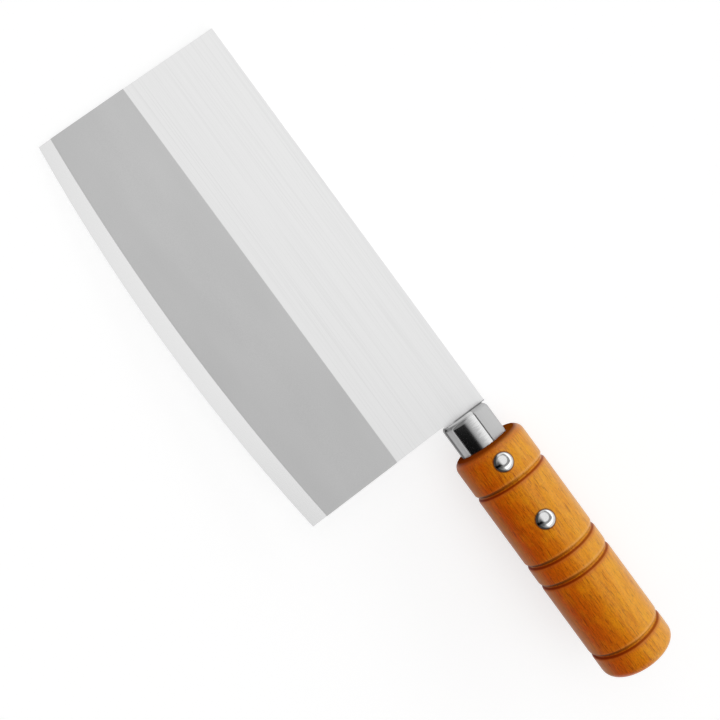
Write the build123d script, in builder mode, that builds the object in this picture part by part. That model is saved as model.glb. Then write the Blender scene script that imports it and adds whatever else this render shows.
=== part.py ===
# Chinese cleaver: a wide thin blade whose tang runs through a steel bolster into a turned
# wooden handle, held there by two rivets of two halves each.
# The origin is on the handle's axis, where the blade's heel crosses it. +X runs from the tip
# to the butt, +Y from the edge to the spine, and +Z out of the blade's upper face.
# All lengths are in millimetres.

import os

from build123d import *

os.makedirs("parts", exist_ok=True)

# Blade
blade_length = 179.4           # along the spine, from the tip to the heel
blade_thickness = 2.0
spine_rise = 9.7               # from the handle's axis up to the spine
tip_height = 82.0              # from the spine to the edge at the tip
heel_height = 83.5             # from the spine to the edge at the heel
tip_lean = 1.9                 # the tip end runs forward by this much on its way to the edge
heel_lean = 1.1                # the heel runs back by this much on its way to the edge
edge_belly = 5.3               # how far the edge bows out below its chord
satin_height = 42.1            # the flat part, from the spine to the top of the grind
strip_width_tip = 5.7          # width of the polished strip along the edge
strip_width_middle = 7.1
strip_width_heel = 6.9
strip_thickness = 1.0          # blade thickness where the strip begins, halfway along
strip_stations = 5             # slopes that the strip is lofted through
edge_thickness = 0.24
spine_chamfer = 0.2

# Neck and tang, both of the blade's own steel
neck_length = 0.9              # the heel stands this far in front of the bolster
neck_drop = 9.6                # from the handle's axis down to the lower side of the neck
neck_overlap = 6.0             # how far the neck and tang run into the blade
tang_thickness = 1.8           # thinner than the blade, so the neck has a shoulder all round
tang_width = 14.0
tang_end_width = 11.0
tang_length = 66.0             # from the heel to the end of the tang
tang_end_radius = 3.0

# Bolster
bolster_length = 13.6
bulge_radius = 10.6            # the round sides of the bolster
spine_wall_rise = 8.85         # the flat wall on the spine side
spine_wall_width = 13.8
spine_facet_start = 2.3        # where the round side gives way to the facet by the spine
edge_facet_start = 8.1         # where it gives way to the facet on the edge side
edge_wall_drop = 10.7
edge_wall_width = 6.8
bolster_front_chamfer = 1.2
bolster_corner_radius = 1.3
seam_width = 0.6               # the fine line between the round side and the spine's facet
seam_turn = 45                 # degrees; the line is cut as a vee
slot_clearance = 0.02          # between the tang and the slot through the bolster

# Handle
handle_length = 103.6
handle_diameter = 31.2
handle_front_radius = 4.0
handle_butt_radius = 3.6
groove_depth = 1.2
groove_width = 2.3
first_groove = 16.5            # from the front of the wood to the middle of the groove
middle_grooves_share = 0.5236  # where the middle of the pair lies along the wood
middle_grooves_apart = 9.5
last_groove = 11.2             # from the middle of the groove to the butt
mortise_clearance = 0.15

# Rivets
front_rivet = 7.5              # from the front of the wood
rear_rivet = 34.2
head_diameter = 7.5
head_rim = 0.9                 # straight side of the head, most of it let into the wood
head_dome = 1.45
head_depth = 0.8               # from the handle's highest line down to the seat of the head
ball_turn = 90                 # degrees; the ball that cuts the dome has its poles at the sides
tube_diameter = 5.0
pin_diameter = 3.2
tube_end_gap = 1.0             # from the end of the tube to the other half's head
pin_end_gap = 1.5              # from the end of the pin to the bottom of the tube
pin_lead = 0.4                 # chamfer on the end of the pin
tube_floor = 3.0               # solid steel under the tube's own head
pin_clearance = 0.02
shank_clearance = 0.05         # round the tube in the wood
head_clearance = 0.05          # round the head in its seat
tang_hole_clearance = 0.1      # round the tube in the tang

overrun = 5.0                  # how far cutting shapes run past what they cut

# Places that follow from the sizes above
half_thickness = blade_thickness / 2
half_tang = tang_thickness / 2
handle_radius = handle_diameter / 2
bolster_front = neck_length
wood_front = bolster_front + bolster_length
wood_butt = wood_front + handle_length
middle_grooves = wood_front + middle_grooves_share * handle_length
groove_places = [
    wood_front + first_groove,
    middle_grooves - middle_grooves_apart / 2,
    middle_grooves + middle_grooves_apart / 2,
    wood_butt - last_groove,
]
rivet_places = {"front": wood_front + front_rivet, "rear": wood_front + rear_rivet}
head_seat = handle_radius - head_depth
head_radius = head_diameter / 2


def tang_corners(front):
    """The corners of the tang's outline, which starts at the given place."""
    return [
        (front, tang_width / 2),
        (wood_front, tang_width / 2),
        (tang_length, tang_end_width / 2),
        (tang_length, -tang_end_width / 2),
        (wood_front, -tang_width / 2),
        (front, -tang_width / 2),
    ]


# Blade

tip_x = -blade_length - tip_lean
heel_x = heel_lean
blade_reach = heel_x - tip_x
edge_at_tip = spine_rise - tip_height
edge_at_heel = spine_rise - heel_height
edge_at_middle = (edge_at_tip + edge_at_heel) / 2 - edge_belly
strip_at_tip = edge_at_tip + strip_width_tip
strip_at_middle = edge_at_middle + strip_width_middle
strip_at_heel = edge_at_heel + strip_width_heel
grind_top = spine_rise - satin_height
grind_slope = (blade_thickness - strip_thickness) / 2 / (grind_top - strip_at_middle)


def bowed(share, at_tip, at_middle, at_heel):
    """The height of a bowed line over the share of the way from the tip to the heel."""
    chord = at_tip + (at_heel - at_tip) * share
    belly = at_middle - (at_tip + at_heel) / 2
    return chord + 4 * belly * share * (1 - share)


def ground_side(y):
    """How far the ground face stands from the middle plane at a height below the grind's top."""
    return half_thickness - grind_slope * (grind_top - y)


with BuildPart() as blade:
    # Plate with a bowed edge, and the neck that the bolster seats on
    with BuildSketch(Plane.XY.offset(-half_thickness)):
        with BuildLine():
            Polyline(
                (tip_x, edge_at_tip),
                (-blade_length, spine_rise),
                (neck_length, spine_rise),
                (neck_length, -neck_drop),
                (0, -neck_drop),
                (heel_x, edge_at_heel),
            )
            ThreePointArc(
                (heel_x, edge_at_heel),
                ((tip_x + heel_x) / 2, edge_at_middle),
                (tip_x, edge_at_tip),
            )
        make_face()
    extrude(amount=blade_thickness)

    # Tang
    with BuildSketch(Plane.XY.offset(-half_tang)) as tang_outline:
        with BuildLine():
            Polyline(*tang_corners(-neck_overlap), close=True)
        make_face()
        fillet(tang_outline.vertices().group_by(Axis.X)[-1], radius=tang_end_radius)
    extrude(amount=tang_thickness)
    with BuildSketch(Plane.XY.offset(-half_tang)):
        with Locations(*[(place, 0) for place in rivet_places.values()]):
            Circle(tube_diameter / 2 + tang_hole_clearance)
    extrude(amount=tang_thickness, mode=Mode.SUBTRACT)

    for side in (1, -1):
        # Flat grind from the satin part down to the edge
        grind_end = edge_at_middle - overrun
        with BuildSketch(Plane.YZ.offset(tip_x - overrun)):
            with BuildLine():
                Polyline(
                    (grind_top, side * half_thickness),
                    (grind_end, side * ground_side(grind_end)),
                    (grind_end, side * (half_thickness + overrun)),
                    (grind_top, side * (half_thickness + overrun)),
                    close=True,
                )
            make_face()
        extrude(amount=blade_reach + 2 * overrun, mode=Mode.SUBTRACT)

        # Strip along the edge, lofted through its slopes from past the tip to past the heel
        for station in range(strip_stations):
            station_share = station / (strip_stations - 1)
            x = tip_x - overrun + station_share * (blade_reach + 2 * overrun)
            share = (x - tip_x) / blade_reach
            edge = bowed(share, edge_at_tip, edge_at_middle, edge_at_heel)
            strip = bowed(share, strip_at_tip, strip_at_middle, strip_at_heel)
            slope = (ground_side(strip) - edge_thickness / 2) / (strip - edge)
            with BuildSketch(Plane.YZ.offset(x)):
                with BuildLine():
                    Polyline(
                        (strip + overrun, side * (ground_side(strip) + slope * overrun)),
                        (edge - overrun, side * (edge_thickness / 2 - slope * overrun)),
                        (edge - overrun, side * (half_thickness + overrun)),
                        (strip + overrun, side * (half_thickness + overrun)),
                        close=True,
                    )
                make_face()
        loft(mode=Mode.SUBTRACT)

    # The long edges of the spine are broken
    spine_edges = blade.edges().filter_by(Axis.X).group_by(Axis.Y)[-1]
    chamfer(spine_edges, spine_chamfer)
blade.part.label = "blade"

# Bolster

half_spine_wall = spine_wall_width / 2
half_edge_wall = edge_wall_width / 2
spine_facet_height = (bulge_radius**2 - spine_facet_start**2) ** 0.5
edge_facet_height = (bulge_radius**2 - edge_facet_start**2) ** 0.5

with BuildPart() as bolster:
    with BuildSketch(Plane.YZ.offset(bolster_front)) as collar_outline:
        with BuildLine():
            spine_side = Polyline(
                (spine_wall_rise, 0),
                (spine_wall_rise, half_spine_wall),
                (spine_facet_start, spine_facet_height),
            )
            edge_side = Polyline(
                (-edge_facet_start, edge_facet_height),
                (-edge_wall_drop, half_edge_wall),
                (-edge_wall_drop, 0),
            )
            RadiusArc(spine_side @ 1, edge_side @ 0, -bulge_radius)
            mirror(about=Plane.XZ)
        make_face()
        wall_corners = [collar_outline.vertices().group_by(Axis.X)[place] for place in (0, -1)]
        seam_corners = collar_outline.vertices().filter_by(lambda corner: corner.X > 0).group_by(Axis.X)[0]
        fillet(wall_corners[0] + wall_corners[1] + seam_corners, radius=bolster_corner_radius)
    extrude(amount=bolster_length)
    chamfer(bolster.faces().sort_by(Axis.X)[0].edges(), bolster_front_chamfer)

    # A fine line between each round side and the spine's facet, carried down the front
    for side in (1, -1):
        crest = side * spine_facet_height
        seam_plane = Plane.XZ.offset(-spine_facet_start)
        with BuildLine(seam_plane) as seam:
            Polyline(
                (wood_front + overrun, crest),
                (bolster_front + bolster_front_chamfer, crest),
                (bolster_front, crest - side * bolster_front_chamfer),
                (bolster_front, 0),
            )
        with BuildSketch(Plane.YZ.offset(wood_front + overrun)):
            with Locations((spine_facet_start, crest)):
                Rectangle(seam_width, seam_width, rotation=seam_turn)
        sweep(path=seam.wires()[0], transition=Transition.RIGHT, mode=Mode.SUBTRACT)

    # Slot for the tang
    with BuildSketch(Plane.YZ.offset(bolster_front - overrun)):
        Rectangle(tang_width + 2 * slot_clearance, tang_thickness + 2 * slot_clearance)
    extrude(amount=bolster_length + 2 * overrun, mode=Mode.SUBTRACT)
bolster.part.label = "bolster"

# Handle

grooved_line = []
for place in groove_places:
    grooved_line += [
        (place - groove_width / 2, handle_radius),
        (place, handle_radius - groove_depth),
        (place + groove_width / 2, handle_radius),
    ]

with BuildPart() as handle:
    with BuildSketch() as turned_profile:
        with BuildLine():
            Polyline(
                (wood_front, 0),
                (wood_front, handle_radius),
                *grooved_line,
                (wood_butt, handle_radius),
                (wood_butt, 0),
                close=True,
            )
        make_face()
        front_corner = turned_profile.vertices().group_by(Axis.Y)[-1].sort_by(Axis.X)[0]
        fillet(front_corner, radius=handle_front_radius)
        butt_corner = turned_profile.vertices().group_by(Axis.Y)[-1].sort_by(Axis.X)[-1]
        fillet(butt_corner, radius=handle_butt_radius)
    revolve(axis=Axis.X)

    # Blind mortise for the tang
    with BuildSketch(Plane.XY.offset(-half_tang - mortise_clearance)) as mortise_outline:
        with BuildLine():
            Polyline(*tang_corners(bolster_front), close=True)
        make_face()
        fillet(mortise_outline.vertices().group_by(Axis.X)[-1], radius=tang_end_radius)
        offset(amount=mortise_clearance)
    extrude(amount=tang_thickness + 2 * mortise_clearance, mode=Mode.SUBTRACT)

    # Holes through for the rivets, with a seat for a head at each end
    for place in rivet_places.values():
        for side in (1, -1):
            seat_plane = Plane(origin=(place, 0, side * head_seat), x_dir=(1, 0, 0), z_dir=(0, 0, side))
            with BuildSketch(seat_plane):
                Circle(head_radius + head_clearance)
            extrude(amount=head_depth + overrun, mode=Mode.SUBTRACT)
        with BuildSketch(Plane.XY.offset(-head_seat)):
            with Locations((place, 0)):
                Circle(tube_diameter / 2 + shank_clearance)
        extrude(amount=2 * head_seat, mode=Mode.SUBTRACT)
handle.part.label = "handle"

# Rivets

tube_radius = tube_diameter / 2
pin_radius = pin_diameter / 2
head_height = head_rim + head_dome
dome_radius = (head_radius**2 + head_dome**2) / (2 * head_dome)
tube_length = 2 * head_seat - tube_end_gap
pin_length = 2 * head_seat - tube_floor - pin_end_gap

rivets = []
for position, place in rivet_places.items():
    for kind, side in (("tube", 1), ("pin", -1)):
        seat_plane = Plane(origin=(place, 0, side * head_seat), x_dir=(1, 0, 0), z_dir=(0, 0, side))
        with BuildPart() as rivet:
            # Head, cut to its dome by a ball that lies on its side
            with BuildSketch(seat_plane):
                Circle(head_radius)
            extrude(amount=head_height)
            with Locations((place, 0, side * (head_seat + head_height - dome_radius))):
                Sphere(dome_radius, rotation=(ball_turn, 0, 0), mode=Mode.INTERSECT)

            if kind == "tube":
                with BuildSketch(seat_plane):
                    Circle(tube_radius)
                extrude(amount=-tube_length)
                with BuildSketch(seat_plane.offset(-tube_floor)):
                    Circle(pin_radius + pin_clearance)
                extrude(amount=-tube_length, mode=Mode.SUBTRACT)
            else:
                with BuildSketch(seat_plane):
                    Circle(pin_radius)
                extrude(amount=-pin_length)
                chamfer(rivet.faces().sort_by(Axis.Z)[-1].edges(), pin_lead)
        rivet.part.label = f"{position}_rivet_{kind}"
        rivets.append(rivet.part)

for piece in (blade.part, bolster.part, handle.part, *rivets):
    export_step(piece, f"parts/{piece.label}.step")
    print(piece.label, "volume", round(piece.volume), "valid", piece.is_valid)
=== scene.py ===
# A Chinese cleaver lying on a pale studio floor, seen from above.
# The frame is the model's own: metres, +X from the tip to the butt, +Y from the edge to the
# spine, +Z out of the blade's upper face, and the origin on the handle's axis at the heel.
# In a pair of places, a share is 0 at the first and 1 at the second. In a span of four, it
# starts, is full, begins to fade and ends.

import math

import bmesh
import bpy
from mathutils import Matrix, Vector


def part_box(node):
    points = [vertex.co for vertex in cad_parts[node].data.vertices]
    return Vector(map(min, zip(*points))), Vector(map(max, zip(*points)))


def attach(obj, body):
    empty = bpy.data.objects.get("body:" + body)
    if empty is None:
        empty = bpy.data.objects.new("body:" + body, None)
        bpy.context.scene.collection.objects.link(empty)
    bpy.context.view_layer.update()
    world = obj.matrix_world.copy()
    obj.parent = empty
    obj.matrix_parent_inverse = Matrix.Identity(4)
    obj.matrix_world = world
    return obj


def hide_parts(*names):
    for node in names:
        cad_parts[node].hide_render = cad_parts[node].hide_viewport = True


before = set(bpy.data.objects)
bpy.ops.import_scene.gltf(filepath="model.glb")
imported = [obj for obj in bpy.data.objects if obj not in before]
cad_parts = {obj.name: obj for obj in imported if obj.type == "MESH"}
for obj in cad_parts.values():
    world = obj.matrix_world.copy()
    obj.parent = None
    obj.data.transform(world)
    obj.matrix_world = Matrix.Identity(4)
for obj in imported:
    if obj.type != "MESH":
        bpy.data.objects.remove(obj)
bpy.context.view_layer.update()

# Camera, above the blade, with the knife's tip to the upper left

camera_place = Vector((-0.0438, -0.0284, 0.3314))
camera_aim = Vector((-0.0406, -0.0204, 0.0))
camera_up = Vector((-0.8061, 0.5917, 0.0064))
camera_lens = 42.25
camera_nearest = 0.01

# Blade: heights go down from the spine, the strip's widths go up from the edge, and the heel's
# lean is how far behind the origin the edge ends

satin_height = 0.0421
tip_height = 0.0820
heel_height = 0.0835
heel_lean = 0.0011
edge_belly = 0.0053
strip_width_tip = 0.0057
strip_width_middle = 0.0071
strip_width_heel = 0.0069
finish_blend = 0.00012

# Bolster, with the angle in degrees above which two of its faces meet in a hard edge

spine_facet_start = 0.0023
edge_facet_start = 0.0081
half_spine_wall = 0.0069
half_edge_wall = 0.0034
bolster_corner_radius = 0.0013
bolster_front_radius = 0.00125
bolster_front_length = 0.0017
seam_width = 0.0006
seam_depth = 0.0003
sharp_angle = 22
bulge_steps = 48
front_steps = 10

# Handle

wood_front_radius = 0.0040
wood_butt_radius = 0.0036
groove_width = 0.0023
groove_depth = 0.0012
groove_lip_radius = 0.0014
groove_root_radius = 0.00025
first_groove = 0.0165
middle_grooves_share = 0.5236
middle_grooves_apart = 0.0095
last_groove = 0.0112
handle_segments = 192
arc_steps = 8

# Places taken from the frame

blade_low, blade_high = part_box("blade")
bolster_low, bolster_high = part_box("bolster")
wood_low, wood_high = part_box("handle")
spine = blade_high[1]
tip = blade_low[0]
bulge_radius = bolster_high[2]
handle_radius = wood_high[2]
wood_front = wood_low[0]
wood_butt = wood_high[0]

rivet_centres = []
for rivet in ("front_rivet_tube", "rear_rivet_tube"):
    rivet_low, rivet_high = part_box(rivet)
    rivet_centres.append((rivet_low[0] + rivet_high[0]) / 2)
rivet_radius = (rivet_high[0] - rivet_low[0]) / 2

middle_grooves = wood_front + middle_grooves_share * (wood_butt - wood_front)
groove_places = (
    wood_front + first_groove,
    middle_grooves - middle_grooves_apart / 2,
    middle_grooves + middle_grooves_apart / 2,
    wood_butt - last_groove,
)

# Mesh code


def rounded(corners):
    """The points of an outline whose corners, given as x, r and radius, are turned into arcs."""
    points = []
    for place, (x, r, radius) in enumerate(corners):
        corner = Vector((x, r))
        if radius == 0:
            points.append(corner)
            continue
        before = (Vector(corners[place - 1][:2]) - corner).normalized()
        after = (Vector(corners[place + 1][:2]) - corner).normalized()
        half_angle = before.angle(after) / 2
        centre = corner + (before + after).normalized() * (radius / math.sin(half_angle))
        start = corner + before * (radius / math.tan(half_angle)) - centre
        end = corner + after * (radius / math.tan(half_angle)) - centre
        turn = start.angle_signed(end)
        for step in range(arc_steps + 1):
            angle = -turn * step / arc_steps
            points.append(centre + Matrix.Rotation(angle, 2) @ start)
    return points


def joined(shape, near, far):
    """Adds faces between two closed rings of as many points each."""
    for place, point in enumerate(near):
        following = (place + 1) % len(near)
        shape.faces.new((point, far[place], far[following], near[following]))


def smooth_mesh(name, shape):
    bmesh.ops.recalc_face_normals(shape, faces=shape.faces)
    for face in shape.faces:
        face.smooth = True
    mesh = bpy.data.meshes.new(name)
    shape.to_mesh(mesh)
    shape.free()
    return mesh


def added(name, data):
    """Puts mesh or camera data into the scene as an object."""
    piece = bpy.data.objects.new(name, data)
    bpy.context.collection.objects.link(piece)
    return piece


def turned(name, points, segments):
    """A mesh turned about the X axis from points that start and end on the axis."""
    shape = bmesh.new()
    rings = []
    for x, r in points[1:-1]:
        ring = []
        for segment in range(segments):
            angle = math.tau * segment / segments
            ring.append(shape.verts.new((x, r * math.sin(angle), r * math.cos(angle))))
        rings.append(ring)
    front = shape.verts.new((points[0][0], 0, 0))
    back = shape.verts.new((points[-1][0], 0, 0))
    for segment in range(segments):
        following = (segment + 1) % segments
        shape.faces.new((front, rings[0][segment], rings[0][following]))
        shape.faces.new((back, rings[-1][following], rings[-1][segment]))
    for near, far in zip(rings, rings[1:]):
        joined(shape, near, far)
    return smooth_mesh(name, shape)


# Shader code


class Shading:
    """One node tree, whose nodes are added and linked by short calls."""

    def __init__(self, tree):
        self.tree = tree
        tree.nodes.clear()

    def add(self, kind, inputs=None, **settings):
        """Adds a node, and gives each input its number or links it to another node's output."""
        node = self.tree.nodes.new(kind)
        for name, value in settings.items():
            setattr(node, name, value)
        for name, value in (inputs or {}).items():
            socket = node.inputs[name]
            if isinstance(value, bpy.types.NodeSocket):
                self.tree.links.new(value, socket)
            else:
                socket.default_value = value
        return node

    def math(self, operation, first, second=0.0, clamp=False):
        inputs = {0: first, 1: second}
        return self.add("ShaderNodeMath", inputs, operation=operation, use_clamp=clamp).outputs[0]

    def plus(self, first, second):
        return self.math("ADD", first, second)

    def minus(self, first, second):
        return self.math("SUBTRACT", first, second)

    def times(self, first, second):
        return self.math("MULTIPLY", first, second)

    def largest(self, first, *others):
        for other in others:
            first = self.math("MAXIMUM", first, other)
        return first

    def rising(self, value, start, end):
        """A share that goes smoothly from 0 at start to 1 at end."""
        inputs = {"Value": value, "From Min": start, "From Max": end}
        return self.add("ShaderNodeMapRange", inputs, interpolation_type="SMOOTHSTEP").outputs["Result"]

    def span(self, value, places):
        """A share that is 1 between the inner two of four places and 0 past the outer two."""
        start, full, fading, end = places
        return self.times(self.rising(value, start, full), self.rising(value, end, fading))

    def between(self, share, low, high):
        """What a share stands for: low at 0 and high at 1, which are numbers or outputs."""
        inputs = {"Value": share, "To Min": low, "To Max": high}
        return self.add("ShaderNodeMapRange", inputs).outputs["Result"]

    def mix(self, share, first, second):
        inputs = {0: share, 6: first, 7: second}
        return self.add("ShaderNodeMix", inputs, data_type="RGBA").outputs[2]

    def painted(self, under, colour, share, amount=1.0):
        """A colour laid over the one under it as thickly as a share of an amount."""
        return self.mix(self.times(share, amount), under, colour)

    def place(self):
        return self.add("ShaderNodeTexCoord").outputs["Object"]

    def parts(self, vector):
        return self.add("ShaderNodeSeparateXYZ", {0: vector}).outputs[:]

    def from_middle(self, across, up):
        """How far a point is from a middle, given its distances across and up from it."""
        return self.math("SQRT", self.plus(self.times(across, across), self.times(up, up)))

    def noise(self, place, scale, detail, roughness=0.5, distortion=0.0):
        """Cloudy shares; scale says how many clouds a metre holds along x, y and z."""
        mapped = self.add("ShaderNodeMapping", {"Vector": place, "Scale": scale}).outputs["Vector"]
        inputs = {"Vector": mapped, "Scale": 1.0, "Detail": detail, "Roughness": roughness}
        inputs["Distortion"] = distortion
        return self.add("ShaderNodeTexNoise", inputs).outputs["Fac"]

    def bump(self, height, distance, strength):
        inputs = {"Height": height, "Distance": distance, "Strength": strength}
        return self.add("ShaderNodeBump", inputs).outputs["Normal"]

    def surface(self, shader):
        """Ends the tree of a material with a shader."""
        self.add("ShaderNodeOutputMaterial", {"Surface": shader.outputs[0]})

    def finish(self, inputs):
        """Ends the tree of a material with an opaque shader that has these inputs."""
        self.surface(self.add("ShaderNodeBsdfPrincipled", inputs))


def material_nodes(name):
    material = bpy.data.materials.new(name)
    material.use_nodes = True
    return material, Shading(material.node_tree)


def dress(node_name, material):
    """Gives a CAD node its material."""
    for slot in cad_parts[node_name].material_slots:
        slot.material = material


def grey(value):
    return (value, value, value, 1.0)


# A grey for painted shade on the blade's neck and in the bolster's seam.
shade_grey = grey(0.06)

# Blade steel: lengthwise satin above the grind, a matt grind, and a polished strip. A painted
# shadow lies on the neck just ahead of the bolster, over a height that is measured from the axis.

blade_brush_scale = (14, 2600, 2600)
blade_cloud_scale = (18, 60, 60)
blade_grain_scale = (3200, 3200, 3200)
satin_grey = 0.87
satin_lines = (0.87, 1.12)
matt_greys = (0.63, 0.72)
matt_specks = (0.94, 1.06)
strip_grey = 0.92
strip_border_span = (-0.0002, 0.0, 0.0, 0.0006)
strip_border_grey = 0.2
strip_border_amount = 0.12
neck_shadow_ahead = (0.0005, 0.0001)
neck_shadow_over = (-0.006, -0.004)
neck_shadow_amount = 0.7
satin_roughness = 0.36
matt_roughness = 0.52
strip_smoothness = 0.3
brush_depth = 0.000004
blade_brush_strength = 0.6


def above_strip(nodes, x, y):
    """How far a point of the blade is above the strip along its bowed edge."""
    share = nodes.math("DIVIDE", nodes.minus(x, tip), heel_lean - tip)
    at_tip = spine - tip_height + strip_width_tip
    at_heel = spine - heel_height + strip_width_heel
    middle = spine - (tip_height + heel_height) / 2 - edge_belly + strip_width_middle
    belly = middle - (at_tip + at_heel) / 2
    bow = nodes.times(nodes.times(share, nodes.minus(1.0, share)), 4 * belly)
    return nodes.minus(y, nodes.plus(nodes.between(share, at_tip, at_heel), bow))


def blade_steel():
    material, nodes = material_nodes("blade_steel")
    place = nodes.place()
    x, y = nodes.parts(place)[:2]
    brushed = nodes.noise(place, blade_brush_scale, detail=3.0)
    clouds = nodes.noise(place, blade_cloud_scale, detail=2.0)
    grain = nodes.noise(place, blade_grain_scale, detail=1.0)
    height = above_strip(nodes, x, y)
    strip = nodes.rising(height, finish_blend, -finish_blend)
    grind_top = spine - satin_height
    satin = nodes.rising(y, grind_top - finish_blend, grind_top + finish_blend)

    matt_colour = nodes.times(nodes.between(clouds, *matt_greys), nodes.between(grain, *matt_specks))
    satin_colour = nodes.mix(nodes.between(brushed, *satin_lines), grey(0.0), grey(satin_grey))
    colour = nodes.mix(satin, matt_colour, satin_colour)
    border = nodes.span(height, strip_border_span)
    colour = nodes.painted(colour, grey(strip_border_grey), border, strip_border_amount)
    colour = nodes.painted(colour, grey(strip_grey), strip)
    # Painted shadow on the neck, just ahead of the bolster
    ahead = nodes.rising(nodes.minus(bolster_low[0], x), *neck_shadow_ahead)
    neck_shadow = nodes.times(ahead, nodes.rising(y, *neck_shadow_over))
    colour = nodes.painted(colour, shade_grey, neck_shadow, neck_shadow_amount)

    roughness = nodes.between(satin, matt_roughness, satin_roughness)
    roughness = nodes.minus(roughness, nodes.times(strip, strip_smoothness))
    relief = nodes.times(nodes.between(satin, grain, brushed), nodes.minus(1.0, strip))
    normal = nodes.bump(relief, brush_depth, blade_brush_strength)
    nodes.finish({"Base Color": colour, "Metallic": 1.0, "Roughness": roughness, "Normal": normal})
    return material


# Bolster steel: polished round sides between satin facets, painted shade in the seam and along
# the front and lower edges, and a painted dark reflection over the half of the round sides below
# the axis, along a ragged border. Back is measured from the bolster's front, up from its lowest
# side, and height from the blade's middle plane.

bolster_brush_scale = (60, 2400, 2400)
facet_grey = 0.515
facet_lines = (0.9, 1.1)
round_grey = 0.80
seam_shade_amount = 0.6
front_shade_back = (0.0005, 0.0001)
front_shade_height = (0.0045, 0.0015)
under_shade_up = (0.0009, 0.0003)
edge_shade_amount = 0.8
corner_shade_back = (0.0011, 0.0005)
corner_shade_up = (0.0017, 0.0009)
corner_shade_amount = 0.95
bolster_shade_grey = 0.05
ragged_scale = (2600, 260, 260)
ragged_depth = 0.0014
reflection_shade_fade = (0.0015, -0.0015)
reflection_shade_amount = 0.45
round_roughness = 0.13
facet_roughness = 0.38
bolster_brush_strength = 0.5


def bolster_shade(nodes, x, y, z):
    """How deep the painted shade is along the bolster's front edge, under it and at their corner."""
    back = nodes.minus(x, bolster_low[0])
    up = nodes.minus(y, bolster_low[1])
    front = nodes.rising(back, *front_shade_back)
    front = nodes.times(front, nodes.rising(nodes.math("ABSOLUTE", z), *front_shade_height))
    under = nodes.rising(up, *under_shade_up)
    edges = nodes.times(nodes.largest(front, under), edge_shade_amount)
    corner = nodes.times(nodes.rising(back, *corner_shade_back), nodes.rising(up, *corner_shade_up))
    return nodes.largest(edges, nodes.times(corner, corner_shade_amount))


def bolster_steel():
    material, nodes = material_nodes("bolster_steel")
    place = nodes.place()
    x, y, z = nodes.parts(place)
    brushed = nodes.noise(place, bolster_brush_scale, detail=3.0)
    spine_side = nodes.rising(y, spine_facet_start, spine_facet_start + finish_blend)
    edge_side = nodes.rising(y, -edge_facet_start, -edge_facet_start - finish_blend)
    satin = nodes.plus(spine_side, edge_side)

    satin_colour = nodes.mix(nodes.between(brushed, *facet_lines), grey(0.0), grey(facet_grey))
    colour = nodes.mix(satin, grey(round_grey), satin_colour)
    from_seam = nodes.math("ABSOLUTE", nodes.minus(y, spine_facet_start))
    seam = nodes.rising(from_seam, seam_width / 2, 0.0)
    # Painted shade in the seam's groove between the spine facet and the round side
    colour = nodes.painted(colour, shade_grey, seam, seam_shade_amount)
    # Painted shadow along the front and lower edges and at their corner
    colour = nodes.painted(colour, grey(bolster_shade_grey), bolster_shade(nodes, x, y, z))
    # Painted dark reflection over the round sides below the axis, along a ragged border
    ragged = nodes.noise(place, ragged_scale, detail=2.0)
    ragged = nodes.plus(y, nodes.between(ragged, -ragged_depth, ragged_depth))
    reflection_shade = nodes.times(nodes.rising(ragged, *reflection_shade_fade), nodes.minus(1.0, satin))
    colour = nodes.painted(colour, grey(0.0), reflection_shade, reflection_shade_amount)

    roughness = nodes.between(satin, round_roughness, facet_roughness)
    relief = nodes.times(nodes.minus(brushed, 0.5), satin)
    normal = nodes.bump(relief, brush_depth, bolster_brush_strength)
    nodes.finish({"Base Color": colour, "Metallic": 1.0, "Roughness": roughness, "Normal": normal})
    return material


# Rivet steel: polished heads with handling marks, and painted shade and dark reflections: a dark
# rim, a crescent that thickens the rim towards the edge and a dark flare below the middle. Places
# are shares of the head's radius.

marks_scale = (900, 900, 900)
head_greys = (0.70, 0.82)
rim_shift = 0.04
rim_reach = (0.86, 1.03)
crescent_shift = 0.22
crescent_reach = (0.84, 1.04)
crescent_fade = (0.25, -0.30)
flare_down = (-0.20, -0.55)
flare_across = (0.60, 0.25)
flare_amount = 0.75
head_shade_grey = 0.03
head_shade_amount = 0.9
head_roughness = (0.10, 0.18)
head_edge_radius = 0.0003
bevel_samples = 6


def from_rivet(nodes, x):
    """How far along x a point is from the axis of the nearer rivet."""
    distances = [nodes.math("ABSOLUTE", nodes.minus(x, centre)) for centre in rivet_centres]
    return nodes.math("MINIMUM", *distances)


def rivet_steel():
    material, nodes = material_nodes("rivet_steel")
    place = nodes.place()
    x, y = nodes.parts(place)[:2]
    marks = nodes.noise(place, marks_scale, detail=4.0, roughness=0.7)
    across = nodes.math("DIVIDE", from_rivet(nodes, x), rivet_radius)
    up = nodes.math("DIVIDE", y, rivet_radius)
    # Painted shade and dark reflections: a dark rim, a crescent and a flare below the middle
    rim = nodes.rising(nodes.from_middle(across, nodes.minus(up, rim_shift)), *rim_reach)
    crescent = nodes.rising(nodes.from_middle(across, nodes.minus(up, crescent_shift)), *crescent_reach)
    crescent = nodes.times(crescent, nodes.rising(up, *crescent_fade))
    flare = nodes.times(nodes.rising(up, *flare_down), nodes.rising(across, *flare_across))
    dark = nodes.largest(rim, crescent, nodes.times(flare, flare_amount))

    darkest, lightest = head_greys
    colour = nodes.mix(marks, grey(darkest), grey(lightest))
    colour = nodes.painted(colour, grey(head_shade_grey), dark, head_shade_amount)
    roughness = nodes.between(marks, *head_roughness)
    bevel = nodes.add("ShaderNodeBevel", {"Radius": head_edge_radius}, samples=bevel_samples)
    normal = bevel.outputs["Normal"]
    nodes.finish({"Base Color": colour, "Metallic": 1.0, "Roughness": roughness, "Normal": normal})
    return material


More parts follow.
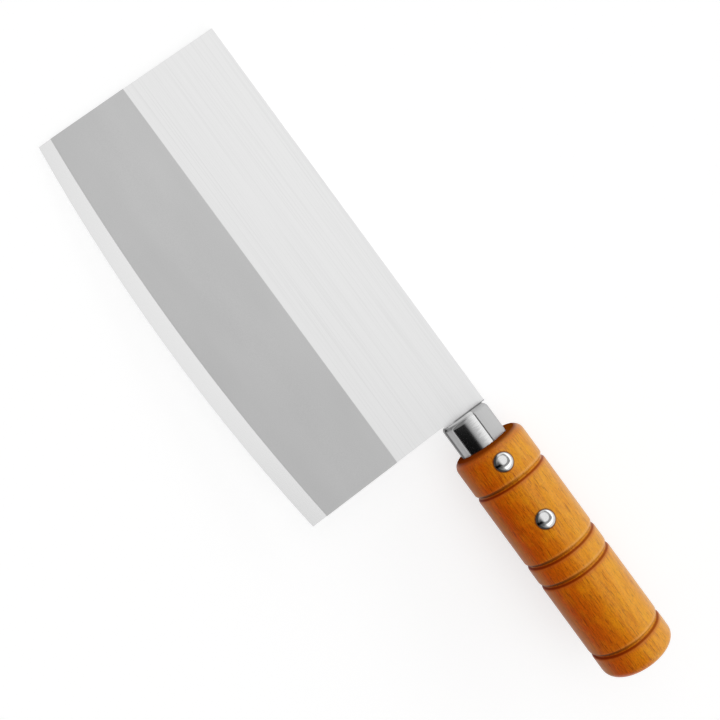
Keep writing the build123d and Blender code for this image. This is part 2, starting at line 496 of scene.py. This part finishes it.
# Varnished beech: amber wood, painted darker and redder on the edge's side as shade and paler on
# the spine's side as light, with painted shade in and beside the grooves and behind the front,
# painted shadows at the front and round the rivets, painted highlights on the grooves' lips and a
# painted sheen low on the edge's side.
# Low is the side of the edge and high the side of the spine, and pairs of amounts and levels
# are for these two. Fades are shares of the handle's radius, up from the axis, or at the butt
# of its rounding's radius, in from the end. Spans go along x from the middle of a groove, and
# reaches go back from the wood's front or out from a rivet's head.

wood_fade = (-0.85, 0.62)
shaded_amber = (0.77, 0.100, 0.0003, 1.0)
lit_amber = (1.0, 0.425, 0.005, 1.0)
band_colour = (0.74, 0.16, 0.001, 1.0)
cloud_colour = (1.0, 0.475, 0.008, 1.0)
streak_colour = (0.52, 0.078, 0.0003, 1.0)
fleck_colour = (0.26, 0.036, 0.0003, 1.0)
grit_colour = (0.44, 0.085, 0.0003, 1.0)
sheen_colour = (0.66, 0.25, 0.035, 1.0)
sheen_fade = (-0.76, -0.93)
sheen_amount = 0.5
lip_highlight_colour = (1.0, 0.50, 0.14, 1.0)
lip_highlight_span = (-0.0024, -0.0017, -0.0014, -0.0009)
lip_highlight_amounts = (0.0, 0.35)
warm_shade_colour = (0.62, 0.115, 0.012, 1.0)
warm_shade_span = (0.0005, 0.0009, 0.0012, 0.0026)
warm_shade_front_reach = (0.0044, 0.0014)
warm_shade_amount = 0.5
flank_shade_colour = (0.17, 0.05, 0.003, 1.0)
flank_shade_span = (-0.0016, -0.0011, -0.0003, 0.0003)
flank_shade_amounts = (0.95, 0.12)
groove_shade_colour = (0.30, 0.028, 0.0005, 1.0)
groove_shade_span = (0.0001, 0.0005, 0.0007, 0.0013)
groove_shade_amounts = (0.95, 0.78)
ring_shadow_colour = (0.19, 0.025, 0.001, 1.0)
ring_shadow_reach = (0.0018, 0.0003)
ring_shadow_amount = 0.85
head_shadow_colour = (0.12, 0.02, 0.001, 1.0)
head_shadow_reach = (0.0006, 0.0001)
head_shadow_amount = 0.75
gloss_fade = (-0.1, 0.2)
butt_gloss_fade = (1.0, 0.25)
gloss_levels = (0.10, 0.46)
groove_shade_dulls = 0.85
wood_roughness = 0.34
grain_depth = 0.00003
grain_strength = 0.5


def grain(nodes, place, height):
    """The wood's colour and relief: bands, pale clouds, streaks, dark flecks and grit."""
    bands = nodes.noise(place, (24, 130, 130), detail=4.0, roughness=0.6, distortion=0.4)
    clouds = nodes.noise(place, (150, 240, 240), detail=4.0, roughness=0.6)
    streaks = nodes.noise(place, (130, 1100, 1100), detail=4.0, roughness=0.75)
    flecks = nodes.noise(place, (240, 2400, 2400), detail=2.0, distortion=0.2)
    grit = nodes.noise(place, (1200, 2200, 2200), detail=2.0, roughness=0.7)
    fleck = nodes.rising(flecks, 0.57, 0.67)
    layers = (
        (band_colour, nodes.rising(bands, 0.35, 0.70), 0.35, 0.20),
        (cloud_colour, nodes.rising(clouds, 0.45, 0.65), 0.15, 0.40),
        (streak_colour, nodes.rising(streaks, 0.46, 0.62), 0.64, 0.30),
        (fleck_colour, fleck, 0.72, 0.42),
        (grit_colour, nodes.rising(grit, 0.42, 0.66), 0.40, 0.20),
    )
    # Painted shade low on the edge's side and painted light high on the spine's side
    colour = nodes.mix(height, shaded_amber, lit_amber)
    for layer_colour, share, low_amount, high_amount in layers:
        amount = nodes.between(height, low_amount, high_amount)
        colour = nodes.painted(colour, layer_colour, share, amount)
    relief = nodes.minus(streaks, fleck)
    return colour, relief


def beside_grooves(nodes, x, span):
    """A share for the marks that lie at one span from the middle of every groove."""
    marks = 0.0
    for groove in groove_places:
        marks = nodes.plus(marks, nodes.span(nodes.minus(x, groove), span))
    return marks


def varnished_beech():
    material, nodes = material_nodes("varnished_beech")
    place = nodes.place()
    x, y = nodes.parts(place)[:2]
    up = nodes.math("DIVIDE", y, handle_radius)
    back = nodes.minus(x, wood_front)
    height = nodes.rising(up, *wood_fade)
    colour, relief = grain(nodes, place, height)
    # Painted sheen low on the edge's side
    colour = nodes.painted(colour, sheen_colour, nodes.rising(up, *sheen_fade), sheen_amount)

    # Painted highlight on the grooves' lips
    lip_highlight = beside_grooves(nodes, x, lip_highlight_span)
    # Painted warm shade just past each groove and behind the wood's front
    warm_shade = nodes.plus(beside_grooves(nodes, x, warm_shade_span), nodes.rising(back, *warm_shade_front_reach))
    # Painted shade on the flanks of each groove, stronger on the edge's side
    flank_shade = beside_grooves(nodes, x, flank_shade_span)
    groove_shade = beside_grooves(nodes, x, groove_shade_span)
    # Painted shadow on the wood just behind the bolster
    ring = nodes.rising(back, *ring_shadow_reach)
    # Painted shadow round the rivets' heads
    past_head = nodes.minus(nodes.from_middle(from_rivet(nodes, x), y), rivet_radius)
    head_shadow = nodes.rising(past_head, *head_shadow_reach)
    colour = nodes.painted(colour, lip_highlight_colour, lip_highlight, nodes.between(height, *lip_highlight_amounts))
    colour = nodes.painted(colour, warm_shade_colour, warm_shade, warm_shade_amount)
    colour = nodes.painted(colour, flank_shade_colour, flank_shade, nodes.between(height, *flank_shade_amounts))
    colour = nodes.painted(colour, groove_shade_colour, groove_shade, nodes.between(height, *groove_shade_amounts))
    colour = nodes.painted(colour, ring_shadow_colour, ring, ring_shadow_amount)
    colour = nodes.painted(colour, head_shadow_colour, head_shadow, head_shadow_amount)

    from_butt = nodes.math("DIVIDE", nodes.minus(wood_butt, x), wood_butt_radius)
    butt_face = nodes.rising(from_butt, *butt_gloss_fade)
    glossy = nodes.largest(nodes.rising(up, *gloss_fade), butt_face)
    dull = nodes.largest(ring, nodes.times(groove_shade, groove_shade_dulls))
    shine = nodes.times(nodes.minus(1.0, dull), nodes.between(glossy, *gloss_levels))
    normal = nodes.bump(relief, grain_depth, grain_strength)
    inputs = {"Base Color": colour, "Roughness": wood_roughness, "Normal": normal}
    inputs["Specular IOR Level"] = shine
    nodes.finish(inputs)
    return material


# Blade and rivets: the CAD's own shapes

dress("blade", blade_steel())
rivets = rivet_steel()
for rivet in ("front_rivet_tube", "front_rivet_pin", "rear_rivet_tube", "rear_rivet_pin"):
    dress(rivet, rivets)

# Bolster: two round sides between flats, with the front edge rounded over


def on_bulge(y):
    return Vector((y, math.sqrt(bulge_radius**2 - y**2)))


def bolster_outline():
    """Points round the bolster as y and z, each with how deep the seam dips there."""
    crest = on_bulge(spine_facet_start)
    wall_top = Vector((bolster_high[1], half_spine_wall))
    along_facet = (wall_top - crest).normalized()
    facet_end = crest + along_facet * seam_width
    spine_corners = [(bolster_high[1], 0, 0), (*wall_top, bolster_corner_radius), (*facet_end, 0)]
    outline = [(point, 0.0) for point in rounded(spine_corners)]
    seam = [(crest + along_facet * seam_width / 2 * share, share) for share in (1.0, 0.5, 0.0)]
    seam += [(on_bulge(spine_facet_start - seam_width / 2 * share), share) for share in (0.5, 1.0)]
    outline += [(point, seam_depth * (1 - share)) for point, share in seam]
    start = math.asin((spine_facet_start - seam_width / 2) / bulge_radius)
    end = math.asin(-edge_facet_start / bulge_radius)
    for step in range(1, bulge_steps + 1):
        angle = start + (end - start) * step / bulge_steps
        outline.append((bulge_radius * Vector((math.sin(angle), math.cos(angle))), 0.0))
    edge_corners = [
        (*on_bulge(-edge_facet_start), 0),
        (bolster_low[1], half_edge_wall, bolster_corner_radius),
        (bolster_low[1], 0, 0),
    ]
    outline += [(point, 0.0) for point in rounded(edge_corners)[1:]]
    under = [(Vector((point.x, -point.y)), dip) for point, dip in reversed(outline[1:-1])]
    return outline + under


def bolster_mesh():
    outline = bolster_outline()
    normals = []
    for place in range(len(outline)):
        along = outline[(place + 1) % len(outline)][0] - outline[place - 1][0]
        normals.append(Vector((along.y, -along.x)).normalized())
    stations = [(bolster_high[0], 0.0)]
    for step in range(front_steps + 1):
        angle = math.pi / 2 * step / front_steps
        x = bolster_low[0] + bolster_front_length * (1 - math.sin(angle))
        stations.append((x, bolster_front_radius * (1 - math.cos(angle))))
    shape = bmesh.new()
    rings = []
    for x, inset in stations:
        ring = []
        for (point, dip), normal in zip(outline, normals):
            inner = point - normal * (inset + dip)
            ring.append(shape.verts.new((x, inner.x, inner.y)))
        rings.append(ring)
    for near, far in zip(rings, rings[1:]):
        joined(shape, near, far)
    shape.faces.new(rings[0])
    shape.faces.new(rings[-1])
    mesh = smooth_mesh("bolster_steel", shape)
    mesh.set_sharp_from_angle(angle=math.radians(sharp_angle))
    return mesh


collar = added("rounded_bolster", bolster_mesh())
collar.data.materials.append(bolster_steel())
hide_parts("bolster")
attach(collar, "root")

# Handle: one turned piece with rounded ends and grooves

profile = [(wood_front, 0, 0), (wood_front, handle_radius, wood_front_radius)]
for groove in groove_places:
    profile += [
        (groove - groove_width / 2, handle_radius, groove_lip_radius),
        (groove, handle_radius - groove_depth, groove_root_radius),
        (groove + groove_width / 2, handle_radius, groove_lip_radius),
    ]
profile += [(wood_butt, handle_radius, wood_butt_radius), (wood_butt, 0, 0)]
handle = added("turned_handle", turned("turned_handle", rounded(profile), handle_segments))
handle.data.materials.append(varnished_beech())
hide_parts("handle")
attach(handle, "root")

# Floor, on which the knife rests by the blade's tip and the front rivet's lower head

floor_size = 6.0
floor_grey = 0.48
floor_lift = 0.664


def floor_paint():
    """Grey paint, lifted to white for rays that see it, so that the knife's shadow stays."""
    material, nodes = material_nodes("floor")
    paths = nodes.add("ShaderNodeLightPath").outputs
    seen = nodes.plus(paths["Is Camera Ray"], paths["Is Glossy Ray"])
    seen = nodes.math("ADD", seen, paths["Is Transmission Ray"], clamp=True)
    paint = nodes.add("ShaderNodeBsdfDiffuse", {"Color": grey(floor_grey)})
    strength = nodes.times(seen, floor_lift)
    lift = nodes.add("ShaderNodeEmission", {"Color": grey(1.0), "Strength": strength})
    nodes.surface(nodes.add("ShaderNodeAddShader", {0: paint.outputs[0], 1: lift.outputs[0]}))
    material.cycles.emission_sampling = "NONE"
    return material


shape = bmesh.new()
bmesh.ops.create_grid(shape, x_segments=1, y_segments=1, size=floor_size / 2)
floor_mesh = bpy.data.meshes.new("floor")
shape.to_mesh(floor_mesh)
shape.free()
floor_mesh.materials.append(floor_paint())
floor = added("floor", floor_mesh)
rivet_bottom = Vector((rivet_centres[0], 0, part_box("front_rivet_pin")[0][2]))
tip_bottom = Vector((tip, 0, blade_low[2]))
slope = rivet_bottom - tip_bottom
floor.rotation_euler = (0, math.atan2(-slope.z, slope.x), 0)
floor.location = rivet_bottom

# World: a studio with a round softbox above, low panels on the sides of the butt, tip and spine,
# and a dim wall. The edge's side is dim too, with a dark card on it that the bolster shows as a
# dark band, and near the horizon every light is held down.
# Camera and transmission rays see plain white.
# Angles are in degrees from straight up. The card's span and the horizon's fade are how far a
# direction of length 1 goes along X and along Z.

softbox_lean_butt = -13
softbox_lean_spine = 5
softbox_fade = (40, 36)
butt_panel_fade = (40, 48)
butt_panel_light = 1.6
tip_panel_fade = (-50, -58)
spine_panel_fade = (50, 66)
spine_panel_light = 2.0
wall_light = 0.3
edge_side_fade = (-6, -38)
edge_side_light = 0.36
dark_card_span = (-0.01, 0.09, 0.32, 0.44)
dark_card_light = 0.006
horizon_fade = (0.45, 0.20)
horizon_light = 0.8


def angle_share(sky, angle, fade):
    """A share that rises between two angles given in degrees."""
    start, end = fade
    return sky.rising(angle, math.radians(start), math.radians(end))


def studio_light(sky):
    """How bright the studio is in each direction."""
    direction = sky.add("ShaderNodeTexCoord").outputs["Generated"]
    towards_butt, towards_spine, upwards = sky.parts(direction)
    butt_angle = sky.math("ARCTAN2", towards_butt, upwards)
    spine_angle = sky.math("ARCTAN2", towards_spine, upwards)
    lean_butt = math.sin(math.radians(softbox_lean_butt))
    lean_spine = math.sin(math.radians(softbox_lean_spine))
    middle = Vector((lean_butt, lean_spine, 1.0)).normalized()
    facing = sky.add("ShaderNodeVectorMath", {0: direction, 1: middle}, operation="DOT_PRODUCT")
    from_middle = sky.math("ARCCOSINE", facing.outputs["Value"])
    softbox = angle_share(sky, from_middle, softbox_fade)
    butt_panel = sky.times(angle_share(sky, butt_angle, butt_panel_fade), butt_panel_light)
    tip_panel = angle_share(sky, butt_angle, tip_panel_fade)
    spine_panel = sky.times(angle_share(sky, spine_angle, spine_panel_fade), spine_panel_light)
    level = sky.largest(softbox, butt_panel, tip_panel, spine_panel, wall_light)
    dark_card = sky.span(towards_butt, dark_card_span)
    edge_level = sky.between(dark_card, edge_side_light, dark_card_light)
    level = sky.between(angle_share(sky, spine_angle, edge_side_fade), level, edge_level)
    low_level = sky.math("MINIMUM", level, horizon_light)
    return sky.between(sky.rising(upwards, *horizon_fade), level, low_level)


world = bpy.data.worlds.new("studio")
bpy.context.scene.world = world
world.use_nodes = True
sky = Shading(world.node_tree)
paths = sky.add("ShaderNodeLightPath").outputs
level = sky.largest(studio_light(sky), paths["Is Camera Ray"], paths["Is Transmission Ray"])
background = sky.add("ShaderNodeBackground", {"Color": grey(1.0), "Strength": level})
sky.add("ShaderNodeOutputWorld", {"Surface": background.outputs[0]})

# Camera, put in its place

back = (camera_place - camera_aim).normalized()
right = camera_up.cross(back).normalized()
up = back.cross(right)
camera_data = bpy.data.cameras.new("camera")
camera_data.lens = camera_lens
camera_data.clip_start = camera_nearest
camera = added("camera", camera_data)
turn = Matrix((right, up, back)).transposed()
camera.matrix_world = Matrix.Translation(camera_place) @ turn.to_4x4()
bpy.context.scene.camera = camera
bpy.context.scene.view_settings.view_transform = "Standard"
